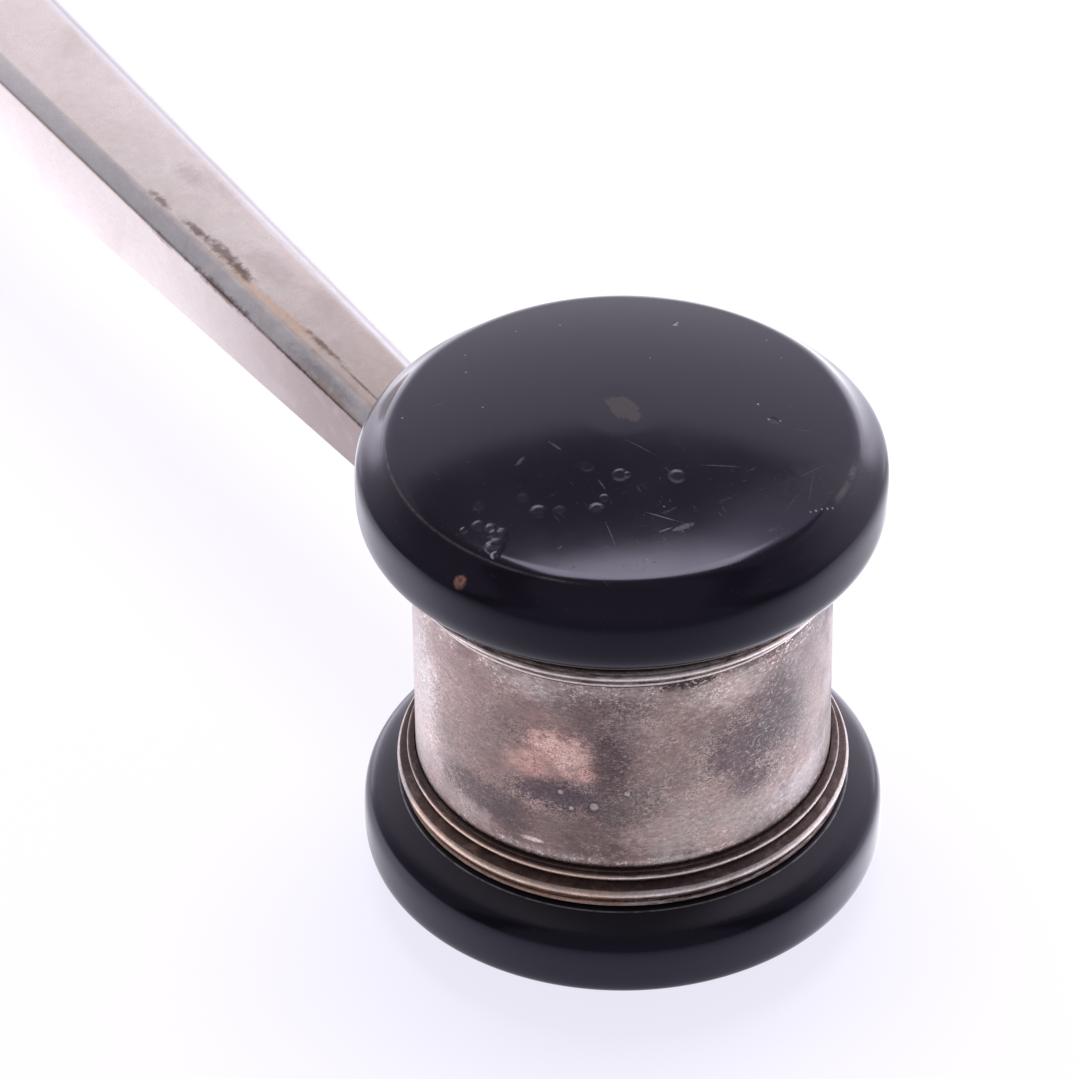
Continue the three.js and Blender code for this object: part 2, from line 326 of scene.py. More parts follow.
def handle_end_cap():
    """The end cap: a plug in the shaft, a rim over its end, a shoulder and a low crown."""
    plug = -SHAFT_WALL - TURNED_GAP
    seat = HANDLE_END + SEAT_GAP
    rim = seat + END_CAP_RIM
    sections = [(HANDLE_END - END_CAP_PLUG, plug), (seat, plug), (seat, END_CAP_OVERHANG)]
    sections += [(rim, END_CAP_OVERHANG)]
    sections += [(rim + beyond, END_CAP_OVERHANG - inwards) for beyond, inwards in (SHOULDER, CROWN)]
    return rounded(eight_sided(sections), FITTING_ROUNDING)


# Shader nodes

class Nodes:
    """Helpers that add shader nodes to a tree and join them up."""

    def __init__(self, tree):
        self.nodes, self.links = tree.nodes, tree.links
        self.nodes.clear()

    def node(self, kind, inputs, **settings):
        made = self.nodes.new("ShaderNode" + kind)
        for key, value in settings.items():
            setattr(made, key, value)
        for key, value in inputs.items():
            if isinstance(value, bpy.types.NodeSocket):
                self.links.new(value, made.inputs[key])
            else:
                made.inputs[key].default_value = value
        return made

    def sum(self, a, b, how="ADD"):
        return self.node("Math", {0: a, 1: b}, operation=how).outputs[0]

    def less(self, a, b):
        return self.sum(a, b, "SUBTRACT")

    def times(self, a, b):
        return self.sum(a, b, "MULTIPLY")

    def most(self, a, b):
        return self.sum(a, b, "MAXIMUM")

    def rise(self, value, low, high, bottom=0.0, top=1.0):
        """Goes smoothly from bottom to top as value goes from low to high."""
        made = self.node(
            "MapRange",
            {"Value": value, "From Min": low, "From Max": high, "To Min": bottom, "To Max": top},
            interpolation_type="SMOOTHSTEP",
        )
        return made.outputs[0]

    def near(self, value, middle, half, edge):
        """1 where value is within half of middle, fading out over edge."""
        off = self.sum(self.less(value, middle), 0.0, "ABSOLUTE")
        return self.rise(off, half + edge, half)

    def length(self, vector):
        return self.node("VectorMath", {0: vector}, operation="LENGTH").outputs["Value"]

    def unit(self, vector):
        return self.node("VectorMath", {0: vector}, operation="NORMALIZE").outputs[0]

    def product(self, vector, other):
        return self.node("VectorMath", {0: vector, 1: other}, operation="MULTIPLY").outputs[0]

    def along(self, vector, direction):
        """How far a vector reaches in a direction."""
        made = self.node("VectorMath", {0: vector, 1: direction}, operation="DOT_PRODUCT")
        return made.outputs["Value"]


class Finish(Nodes):
    """A material being mixed, with its pattern laid out in millimetres over the whole gavel."""

    def __init__(self, name):
        self.material = bpy.data.materials.new(name)
        self.material.use_nodes = True
        super().__init__(self.material.node_tree)
        output = self.nodes.new("ShaderNodeOutputMaterial")
        self.shader = self.nodes.new("ShaderNodeBsdfPrincipled")
        self.links.new(self.shader.outputs[0], output.inputs[0])
        self.coordinates = self.nodes.new("ShaderNodeTexCoord").outputs["Object"]
        self.place = self.scaled(1, 1, 1)
        self.base = self.rough = self.height = None

    def scaled(self, x, y, z, turn=(0, 0, 0)):
        """Object coordinates in millimetres, stretched along each axis."""
        size = (x / MM, y / MM, z / MM)
        made = self.node("Mapping", {"Vector": self.coordinates, "Scale": size, "Rotation": turn})
        return made.outputs[0]

    def noise(self, size, detail=3, roughness=0.5, stretch=(1, 1, 1), turn=(0, 0, 0), distortion=0):
        """Cloudy noise about size millimetres across, from 0 to 1."""
        vector = self.scaled(*[1 / s for s in stretch], turn)
        made = self.node(
            "TexNoise",
            {"Vector": vector, "Scale": 1 / size, "Detail": detail, "Roughness": roughness,
             "Distortion": distortion},
        )
        return made.outputs["Fac"]

    def cells(self, size):
        """Distance from the nearest of a scatter of points about size millimetres apart."""
        made = self.node("TexVoronoi", {"Vector": self.place, "Scale": 1 / size})
        return made.outputs["Distance"]

    def paint(self, value):
        return value if isinstance(value, bpy.types.NodeSocket) else (*value, 1.0)

    def colour(self, under, over, share):
        """Lays one colour over another."""
        made = self.node("Mix", {0: share, 6: self.paint(under), 7: self.paint(over)}, data_type="RGBA")
        return made.outputs[2]

    def tinted(self, under, factor):
        """Scales a colour by a number."""
        return self.node("VectorMath", {0: under, "Scale": factor}, operation="SCALE").outputs[0]

    def axis_radius(self):
        """Distance from the axis of the head."""
        return self.length(self.scaled(1, 1, 0))

    def axes(self):
        split = self.node("SeparateXYZ", {0: self.place})
        return split.outputs[0], split.outputs[1], split.outputs[2]

    def towards(self, angle):
        """How far a place lies towards an angle round the head."""
        return self.along(self.place, (cos(radians(angle)), sin(radians(angle)), 0))

    def patch(self, centre, size, edge=0.4, ragged=0.0, noise=None, where=None):
        """1 inside an oval patch, 0 outside it, with a soft edge that a noise can make ragged."""
        shifted = self.node("VectorMath", {0: where or self.place, 1: centre}, operation="SUBTRACT")
        shrunk = self.node("VectorMath", {0: shifted.outputs[0], 1: size}, operation="DIVIDE")
        away = self.length(shrunk.outputs[0])
        if noise is not None:
            away = self.sum(away, self.times(self.less(noise, 0.5), ragged))
        return self.rise(away, 1 + edge, 1 - edge)

    def turned_about(self, centre, angle):
        """The place, turned about an upright line so that a mark can run at an angle."""
        made = self.node(
            "VectorRotate", {"Vector": self.place, "Center": centre, "Angle": -radians(angle)},
            rotation_type="Z_AXIS",
        )
        return made.outputs[0]

    def lay(self, colour, share):
        """Covers a share of the surface with a colour."""
        self.base = self.colour(self.base, colour, share)

    def dye(self, colour):
        """Multiplies the colour of the surface by another."""
        self.base = self.product(self.base, colour)

    def wear(self, share, rougher=0.0, higher=0.0):
        """Makes a share of the surface rougher, and higher by millimetres."""
        if rougher:
            self.rough = self.sum(self.rough, self.times(share, rougher))
        if higher:
            self.height = self.sum(self.height, self.times(share, higher))

    def finish(self):
        """Connects colour, roughness and surface height."""
        self.links.new(self.base, self.shader.inputs["Base Color"])
        self.links.new(self.rough, self.shader.inputs["Roughness"])
        bump = self.node("Bump", {"Height": self.height, "Distance": MM, "Strength": 1.0})
        self.links.new(bump.outputs[0], self.shader.inputs["Normal"])
        return self.material


# Materials

def on_barrel(angle, height):
    """A place on the barrel, from its angle round the head and its height."""
    return (BARREL_RADIUS * cos(radians(angle)), BARREL_RADIUS * sin(radians(angle)), height)


def on_dome(place):
    """A place on the upper striking face."""
    out = sqrt(place[0] ** 2 + place[1] ** 2)
    return (place[0], place[1], HEAD_HEIGHT - DOME_RISE * (out / FACE_RADIUS) ** 2)


# Black polish, and the colours of its marks
POLISH = (0.0065, 0.0052, 0.0105)
CLOUDED_POLISH = (0.0085, 0.0068, 0.0125)
POLISH_IOR = 1.42
POLISH_SHEEN = (0.97, 0.92, 1.22, 1.0)
SCUFF = (0.035, 0.031, 0.038)
DULL_SEAT = (0.030, 0.027, 0.031)
SEAT_EDGE_AND_HIGHLIGHT = (0.34, 0.345, 0.35)
WORN_RING = (0.062, 0.050, 0.046)
SCRATCH = (0.085, 0.078, 0.086)
SPECK = (0.30, 0.29, 0.30)
STAIN = (0.036, 0.026, 0.025)
PALE_STAIN = (0.056, 0.045, 0.044)
CHIP = (0.10, 0.045, 0.034)
PALE_CHIP = (0.24, 0.12, 0.09)
WORN_CREASE = (0.14, 0.13, 0.125)
RUBBED = (0.020, 0.018, 0.018)

# Places and half-sizes of the upper cap's stain and chip, and of the rubbed part of its face
STAIN_PLACE = (0.1, -0.35, HEAD_HEIGHT)
STAIN_SIZE = (2.4, 1.5, 3)
CHIP_PLACE = (-9.3, 27.6, 60.7)
CHIP_SIZE = (0.85, 0.85, 0.95)
WORN_CREASE_PLACE = (-21.0, -16.0, HEAD_HEIGHT - DOME_RISE)
WORN_CREASE_SIZE = (3.2, 3.6, 1.6)
RUBBED_PLACE = (-20.3, -14.2)
RUBBED_SIZE = (3.0, 5.2, 3)

# Depths of the marks that aren't dents
SCRATCH_DEPTH = 0.006
CHIP_DEPTH = 0.05
SCORING_DEPTH = 0.016

# Marks on the upper striking face: a dent's place, half-width and depth; a scratch's place,
# half-length, half-width, direction and strength; a speck's place and half-width
DENTS = [
    ((-9.1, 6.3), 0.8, 0.07), ((-12.6, 1.1), 0.85, 0.0784), ((-5.9, 8.5), 0.75, 0.0336),
    ((-11.1, 9.7), 0.5, 0.0364), ((-12.0, 11.3), 0.8, 0.0504), ((-8.4, 16.6), 0.85, 0.056),
    ((-9.8, 14.7), 0.7, 0.028), ((-5.7, 22.7), 0.7, 0.0476), ((-5.1, 24.2), 0.4, 0.0392),
    ((-7.0, 22.0), 0.7, 0.056), ((-8.4, 21.9), 0.95, 0.0784), ((-9.4, 22.9), 0.9, 0.0728),
    ((-10.4, 23.5), 0.45, 0.056), ((-3.3, 21.1), 0.6, 0.0252), ((-5.6, 16.8), 0.65, 0.0252),
    ((11.9, -15.2), 0.36, 0.042), ((-9.5, -13.9), 0.5, 0.0252), ((-9.6, 5.6), 0.4, 0.0252),
]
SCRATCHES = [
    ((-1.0, 9.5), 0.95, 0.1, 9, 0.55), ((-0.6, 14.0), 0.75, 0.2, 112, 0.42),
    ((-9.2, 8.8), 0.75, 0.09, 175, 0.42), ((-19.3, 4.7), 1.1, 0.28, 86, 0.42),
    ((-18.6, 6.6), 0.7, 0.08, 84, 0.55), ((-16.9, 5.9), 1.5, 0.08, 38, 0.3),
    ((-9.5, -13.9), 0.9, 0.1, 20, 0.4), ((14.7, 14.8), 0.9, 0.09, 75, 0.3),
    ((-12.2, -16.2), 0.7, 0.07, 60, 0.35), ((-15.8, 12.0), 1.4, 0.05, 165, 0.25),
    ((-13.5, -4.0), 2.0, 0.045, 60, 0.14), ((-6.5, 2.0), 1.8, 0.045, 20, 0.14),
    ((-20.4, -11.5), 2.4, 0.05, 140, 0.3), ((-18.2, -13.2), 1.6, 0.06, 100, 0.3),
    ((-21.6, -8.0), 1.8, 0.05, 120, 0.25),
]
SPECKS = [
    ((11.9, -15.2), 0.2), ((12.1, -15.6), 0.14), ((10.3, 11.8), 0.1), ((17.7, 9.3), 0.1),
    ((19.1, -4.3), 0.09), ((21.3, 0.2), 0.08), ((21.0, 7.3), 0.09), ((15.8, 19.0), 0.12),
    ((6.7, -8.3), 0.07), ((0.6, -22.0), 0.08), ((4.6, -22.7), 0.09), ((-6.4, -14.0), 0.12),
    ((-9.2, -13.5), 0.12), ((-9.9, -14.6), 0.1), ((-20.9, 10.6), 0.08), ((-17.1, 18.7), 0.07),
    ((-15.7, 4.9), 0.08), ((-23.45, -9.3), 0.09), ((-23.5, -10.0), 0.12), ((-23.5, -10.8), 0.11),
    ((-23.55, -11.5), 0.13), ((-23.6, -12.2), 0.12),
]


def mark_upper_face(f, radius, mottle, fine, broken):
    """Adds the dents, scratches, specks, stain, chip and rubbed side of the upper cap."""
    for place, size, depth in DENTS:
        dent = f.patch(on_dome(place), (size,) * 3, 0.42, 0.3, mottle)
        f.wear(dent, 0.05, -depth)
    for place, half_length, half_width, angle, strength in SCRATCHES:
        turned = f.turned_about(on_dome(place), angle)
        scratch = f.patch(on_dome(place), (half_length, half_width, 1), 0.5, 2.0, fine, turned)
        f.lay(SCRATCH, f.times(scratch, strength))
        f.wear(scratch, 0.2, -SCRATCH_DEPTH)
    for place, size in SPECKS:
        speck = f.patch(on_dome(place), (size, size, 0.6), 0.3, 0.8, fine)
        f.lay(SPECK, speck)
        f.wear(speck, 0.4)
    stain = f.patch(STAIN_PLACE, STAIN_SIZE, 0.12, 1.7, mottle)
    f.lay(f.colour(STAIN, PALE_STAIN, fine), stain)
    f.wear(stain, 0.25)
    chip = f.patch(CHIP_PLACE, CHIP_SIZE, 0.2, 1.2, mottle)
    f.lay(f.colour(CHIP, PALE_CHIP, f.rise(fine, 0.4, 0.6)), chip)
    f.wear(chip, 0.3, -CHIP_DEPTH)
    worn_crease = f.patch(WORN_CREASE_PLACE, WORN_CREASE_SIZE, 0.4, 1.6, mottle)
    worn_crease = f.times(f.times(worn_crease, f.near(radius, FACE_RADIUS, 0.1, 0.35)), broken)
    f.lay(WORN_CREASE, f.times(worn_crease, 0.8))
    rubbed = f.patch(on_dome(RUBBED_PLACE), RUBBED_SIZE, 0.5, 1.4, mottle)
    scored = f.noise(0.6, 3, 0.6, (1, 4, 1), (0, 0, 0.6))
    f.lay(RUBBED, f.times(rubbed, 0.5))
    f.wear(rubbed, 0.07)
    f.wear(f.times(rubbed, scored), higher=-SCORING_DEPTH)


def black_polish(name, worn_face):
    """Ebonised wood under old polish: scuffed, dented, and worn brown along its crease, with a pale line at
    its seat that is partly a painted highlight.
    """
    f = Finish(name)
    z = f.axes()[2]
    above_face = f.less(HEAD_HEIGHT, z) if worn_face else z
    radius = f.axis_radius()
    cloud = f.noise(9, 2)
    mottle = f.noise(1.6, 4, 0.6)
    fine = f.noise(0.35, 2, 0.6)
    pit = f.rise(f.sum(f.cells(2.3), f.times(fine, 0.05)), 0.08, 0.04)
    lengthways = f.rise(f.noise(0.3, 1, 0.5, (16, 1, 1), (0, 0, 0.5)), 0.69, 0.76)
    crossways = f.rise(f.noise(0.28, 1, 0.5, (1, 14, 1), (0, 0, -0.35)), 0.70, 0.77)
    scuffed = f.times(f.most(lengthways, crossways), f.rise(mottle, 0.42, 0.62))

    f.base = f.colour(POLISH, CLOUDED_POLISH, cloud)
    f.rough = f.sum(f.rise(cloud, 0.35, 0.7, 0.13, 0.17), f.times(mottle, 0.03))
    f.height = f.sum(f.times(cloud, 0.02), f.times(mottle, 0.0035))
    f.wear(pit, higher=-0.012)
    f.lay(SCUFF, f.times(scuffed, 0.4))
    f.wear(scuffed, 0.12, -0.002)

    seat_side = f.rise(above_face, EQUATOR + 2, EQUATOR + 4)
    haze = f.times(f.rise(radius, CAP_RADIUS - 0.8, CAP_RADIUS - 2.4), seat_side)
    f.lay(DULL_SEAT, haze)
    f.wear(haze, 0.25)
    # A pale line at the seat's edge: partly an edge of lacquer and glue, partly a painted highlight.
    seat_edge_and_highlight = f.times(f.near(radius, SEAT_RADIUS + 0.2, 0.05, 0.07), seat_side)
    f.lay(SEAT_EDGE_AND_HIGHLIGHT, f.times(seat_edge_and_highlight, f.rise(mottle, 0.35, 0.55, 0.4, 1.0)))

    crease = f.times(f.near(radius, FACE_RADIUS + 0.1, 0.02, 0.18), f.near(above_face, DOME_RISE, 0.6, 0.6))
    broken = f.rise(f.sum(mottle, f.times(fine, 0.4)), 0.55, 0.75)
    left_side = f.rise(f.towards(95), 18.5, 22.5)
    worn_ring = f.times(f.times(crease, left_side), f.rise(broken, 0, 1, 0.45, 0.9))
    f.lay(WORN_RING, worn_ring)
    f.wear(worn_ring, 0.2)

    if worn_face:
        mark_upper_face(f, radius, mottle, fine, broken)
    f.shader.inputs["IOR"].default_value = POLISH_IOR
    f.shader.inputs["Specular Tint"].default_value = POLISH_SHEEN
    return f.finish()


class Plate(Finish):
    """Tarnished silver plate: three tones in clouds, with a fine grain that runs level."""

    def __init__(self, name, tones, spread=1.0, grain_size=0.4):
        super().__init__(name)
        bright, dull, dark = tones
        cloud = self.noise(13, 3, 0.5, distortion=0.4)
        self.mottle = self.noise(3.2, 5, 0.6, distortion=0.3)
        self.grain = self.noise(grain_size, 3, 0.6, (2.8, 2.8, 1))
        self.speckle = self.noise(0.18, 3, 0.7, (1.4, 1.4, 1))
        clusters = self.rise(self.noise(0.9, 4, 0.7, (1.3, 1.3, 1)), 0.38, 0.62)
        spots = self.times(self.rise(self.speckle, 0.36, 0.64), 0.40)
        ragged = self.sum(self.times(self.mottle, 0.25), spots)
        self.ragged = self.sum(ragged, self.times(clusters, 0.35))
        self.mixed = self.sum(self.times(cloud, 0.62), self.times(self.mottle, 0.38))
        self.base = self.colour(dark, dull, self.rise(self.mixed, 0.5 - 0.14 * spread, 0.5))
        self.lay(bright, self.rise(self.mixed, 0.47, 0.5 + 0.12 * spread))

    def finish_plate(self, dirt, grain_depth, speckle_depth, low=0.34, high=0.46):
        """Scales the colour by the grain, and sets roughness, between low and high, and height."""
        coarse = self.rise(self.grain, 0.25, 0.75, 1 - grain_depth, 1 + grain_depth)
        depth = self.rise(self.mottle, 0.38, 0.62, 0.8 * speckle_depth, 2.6 * speckle_depth)
        centred = self.less(self.rise(self.speckle, 0.34, 0.66), 0.5)
        minute = self.sum(self.times(centred, depth), 1)
        self.base = self.tinted(self.base, self.times(coarse, minute))
        self.rough = self.sum(self.rise(self.mixed, 0.35, 0.65, high, low), self.times(self.grain, 0.06))
        self.height = self.sum(self.times(self.grain, 0.006), self.times(self.mottle, 0.010))
        self.wear(dirt, 0.25)
        self.shader.inputs["Metallic"].default_value = 1.0
        return self.finish()


# Tones of the plate: bright, dull and dark
BARREL_TONES = ((0.56, 0.434, 0.400), (0.41, 0.313, 0.286), (0.25, 0.192, 0.184))
COLLAR_TONES = ((0.66, 0.53, 0.49), (0.46, 0.36, 0.33), (0.25, 0.195, 0.185))
HANDLE_TONES = ((0.79, 0.72, 0.68), (0.74, 0.668, 0.630), (0.66, 0.585, 0.548))
END_TONES = ((0.40, 0.36, 0.345), (0.30, 0.262, 0.25), (0.17, 0.14, 0.13))

# Patches on the barrel: angle, height, half-width, half-height, edge, raggedness, colour, share
BARREL_PATCHES = [
    (106, 34.5, 9.0, 8.0, 0.6, 0.8, (0.3, 0.23, 0.207), 0.8),
    (72, 33.0, 7.5, 14.0, 0.6, 0.3, (0.78, 0.71, 0.7), 0.85),
    (96, 34.0, 5.0, 8.0, 0.6, 0.8, (0.34, 0.27, 0.25), 0.75),
    (155, 42.0, 5.0, 4.5, 0.5, 0.9, (0.6, 0.475, 0.445), 0.8),
    (164, 32.5, 7.5, 9.0, 0.5, 0.9, (0.47, 0.366, 0.343), 0.78),
    (126, 24.0, 12.0, 4.2, 0.5, 0.9, (0.24, 0.183, 0.17), 0.75),
    (141, 36.5, 4.0, 7.0, 0.5, 0.9, (0.23, 0.184, 0.186), 0.72),
    (137, 43.4, 7.0, 2.2, 0.5, 0.9, (0.23, 0.188, 0.19), 0.7),
    (125, 37.4, 6.5, 3.6, 0.5, 0.9, (0.28, 0.21, 0.197), 0.65),
    (118, 41.6, 5.0, 2.2, 0.5, 0.9, (0.4, 0.318, 0.295), 0.6),
    (126, 39.9, 3.0, 1.6, 0.3, 1.3, (0.46, 0.335, 0.305), 0.75),
    (130, 35.9, 4.4, 2.7, 0.15, 1.5, (0.98, 0.68, 0.6), 0.96),
    (121.5, 33.8, 3.0, 2.4, 0.2, 1.6, (0.64, 0.43, 0.38), 0.9),
    (136.5, 33.4, 2.6, 1.2, 0.2, 1.6, (0.78, 0.53, 0.46), 0.88),
    (142.6, 35.0, 2.0, 4.6, 0.4, 0.9, (0.145, 0.118, 0.125), 0.8),
    (129, 29.8, 5.2, 2.1, 0.3, 1.1, (0.15, 0.124, 0.142), 0.88),
    (180, 34.2, 4.0, 4.2, 0.4, 1.0, (0.155, 0.134, 0.148), 0.8),
    (193, 36.7, 5.5, 6.5, 0.5, 0.9, (0.18, 0.154, 0.16), 0.75),
    (106, 25.0, 5.5, 3.0, 0.4, 1.0, (0.17, 0.14, 0.142), 0.8),
    (182, 23.6, 8.0, 2.9, 0.5, 1.3, (0.66, 0.55, 0.515), 0.75),
    (90, 42.5, 6.0, 4.5, 0.5, 1.6, (0.36, 0.3, 0.285), 0.65),
    (122, 44.6, 4.0, 1.2, 0.3, 2.6, (0.66, 0.58, 0.555), 0.8),
    (143, 45.6, 4.0, 0.8, 0.4, 2.2, (0.6, 0.52, 0.5), 0.75),
    (176, 43.4, 5.0, 2.2, 0.4, 1.6, (0.74, 0.63, 0.595), 0.8),
    (209, 42.0, 4.0, 6.0, 0.5, 1.6, (0.64, 0.55, 0.53), 0.75),
    (194, 46.4, 7.0, 0.9, 0.5, 1.6, (0.15, 0.12, 0.115), 0.8),
    (164, 46.2, 3.2, 0.8, 0.4, 1.4, (0.07, 0.052, 0.05), 0.9),
    (157, 24.4, 4.6, 2.6, 0.5, 1.4, (0.6, 0.495, 0.465), 0.8),
    (168, 26.0, 5.0, 3.5, 0.5, 1.3, (0.6, 0.485, 0.455), 0.6),
    (184, 28.8, 3.0, 1.8, 0.5, 1.0, (0.17, 0.148, 0.16), 0.75),
    (98, 22.4, 4.5, 1.5, 0.4, 1.9, (0.56, 0.475, 0.45), 0.75),
    (122, 20.9, 7.0, 0.5, 0.4, 2.2, (0.5, 0.43, 0.41), 0.8),
    (160, 20.7, 4.5, 0.5, 0.4, 2.0, (0.72, 0.62, 0.595), 0.8),
    (147, 29.5, 4.0, 3.0, 0.5, 0.9, (0.22, 0.178, 0.175), 0.55),
    (206, 23.4, 5.0, 2.6, 0.5, 1.4, (0.95, 0.84, 0.82), 0.8),
    (121, 22.4, 1.3, 0.28, 0.3, 1.0, (0.9, 0.78, 0.73), 0.9),
]

# Dots on the barrel: angle, height and half-width; and how much wider a dot's dark ring is
BARREL_DOTS = [(129.4, 30.4, 0.30), (132.4, 28.3, 0.28), (138.7, 28.9, 0.48), (147.6, 31.0, 0.34)]
DOT = (0.62, 0.55, 0.52)
DOT_RING = (0.12, 0.10, 0.11)
RING_SIZE = 1.7

# The worn copper's middle, and its dark pits
COPPER_PLACE = (129, 36.0)
COPPER_PIT = (0.20, 0.140, 0.135)

# Colours that the barrel's plate is multiplied by: warm and cool clouds, and its two sides, a pinker one
# and one in painted shade
UNDYED = (1.0, 1.0, 1.0)
WARM = (1.04, 0.98, 0.96)
COOL = (0.98, 1.01, 0.99)
PINK_SIDE = (1.0, 0.955, 0.975)
PAINTED_SHADE_SIDE = (0.55, 0.56, 0.58)

# Flecks and dirt at the ends of the barrel, the pale flecks partly painted glints
DARK_FLECK = (0.13, 0.095, 0.09)
PALE_FLECK_AND_GLINT = (1.0, 0.90, 0.87)
SEAM_DIRT = (0.12, 0.088, 0.083)


def fleck_barrel_ends(f):
    """Adds flecks by both ends of the barrel, the pale ones partly painted glints, and dirt against its
    collars, which it gives back.
    """
    z = f.axes()[2]
    lowest = CAP_THICKNESS + SEAT_GAP + COLLAR_HEIGHT
    highest = HEAD_HEIGHT - lowest
    flecks = f.noise(0.34, 4, 0.75, (1.8, 1.8, 1))
    fringe = f.most(f.rise(z, highest - 5.5, highest - 1.0), f.rise(z, lowest + 2.2, lowest + 0.6))
    worn_side = f.rise(f.towards(170), 18.5, 22.5, 0.10, 0.28)
    fringe = f.most(f.times(fringe, f.rise(f.mottle, 0.40, 0.56)), worn_side)
    f.lay(DARK_FLECK, f.times(f.times(f.rise(flecks, 0.45, 0.40), fringe), 0.55))
    # The pale flecks are partly pale spots on the plate and partly painted glints.
    f.lay(PALE_FLECK_AND_GLINT, f.times(f.times(f.rise(flecks, 0.55, 0.60), fringe), 0.85))
    ragged_edge = f.times(f.less(f.speckle, 0.5), 0.9)
    at_foot = f.rise(f.less(z, ragged_edge), lowest + 0.22, lowest + 0.02)
    at_top = f.rise(f.sum(z, ragged_edge), highest - 0.30, highest - 0.08)
    dirt = f.most(at_foot, at_top)
    f.lay(SEAM_DIRT, f.times(dirt, 0.85))
    return dirt


def barrel_plate(name):
    """Tarnished plate on the barrel, rubbed through to copper in one place, with painted shade on one side.
    """
    f = Plate(name, BARREL_TONES, 0.8)
    for angle, level, wide, high, edge, ragged, colour, share in BARREL_PATCHES:
        patch = f.patch(on_barrel(angle, level), (wide, wide, high), edge, ragged, f.ragged)
        f.lay(colour, f.times(patch, share))
    pits = f.times(f.patch(on_barrel(*COPPER_PLACE), (7, 7, 4.5), 0.3), f.rise(f.speckle, 0.47, 0.40))
    f.lay(COPPER_PIT, f.times(pits, 0.35))
    f.dye(f.colour(WARM, COOL, f.rise(f.noise(5.5, 4, 0.6), 0.38, 0.62)))
    f.dye(f.colour(UNDYED, PINK_SIDE, f.rise(f.towards(115), 18, 22)))
    # Painted shade: the side of the barrel towards 214 degrees is darkened.
    f.dye(f.colour(UNDYED, PAINTED_SHADE_SIDE, f.rise(f.towards(214), 18.5, 23)))
    for angle, level, size in BARREL_DOTS:
        ring_patch = f.patch(on_barrel(angle, level), (size * RING_SIZE,) * 3, 0.2, 0.8, f.speckle)
        f.lay(DOT_RING, f.times(ring_patch, 0.7))
        dot = f.patch(on_barrel(angle, level), (size,) * 3, 0.3, 0.8, f.speckle)
        f.lay(DOT, f.times(dot, 0.9))
    return f.finish_plate(fleck_barrel_ends(f), 0.16, 0.28)


# Rows of a collar: height above its foot, half-height and soft edge
COVE_ROW = (3.02, 0.32, 0.12)
LOWER_SPLIT = (1.18, 0.08, 0.12)
LOWER_CROWNS = ((2.28, 0.24, 0.14), (3.68, 0.20, 0.12))
UPPER_SPLIT = (1.12, 0.08, 0.12)
UPPER_SECOND_SPLIT = (1.62, 0.05, 0.10)
UPPER_CROWNS = ((2.15, 0.12, 0.10), (3.85, 0.10, 0.10))

# Colours of the collars' streaks, worn and soldered places, crowns (partly a painted highlight), grooves
# (tarnish and painted shade) and the painted shadow at their foot
DARK_STREAK = (0.10, 0.075, 0.070)
PALE_STREAK = (0.90, 0.80, 0.76)
COPPERY_SIDE = (0.84, 0.56, 0.41)
SOLDER = (0.72, 0.66, 0.63)
SOLDER_PLACE = (156, 49.6)
SILVER_CROWN_WEAR_AND_HIGHLIGHT = (0.92, 0.83, 0.80)
COPPERY_CROWN_WEAR_AND_HIGHLIGHT = (1.0, 0.75, 0.62)
GROOVE_TARNISH_AND_SHADE = (0.125, 0.085, 0.082)
FOOT_SHADOW = (0.035, 0.026, 0.025)


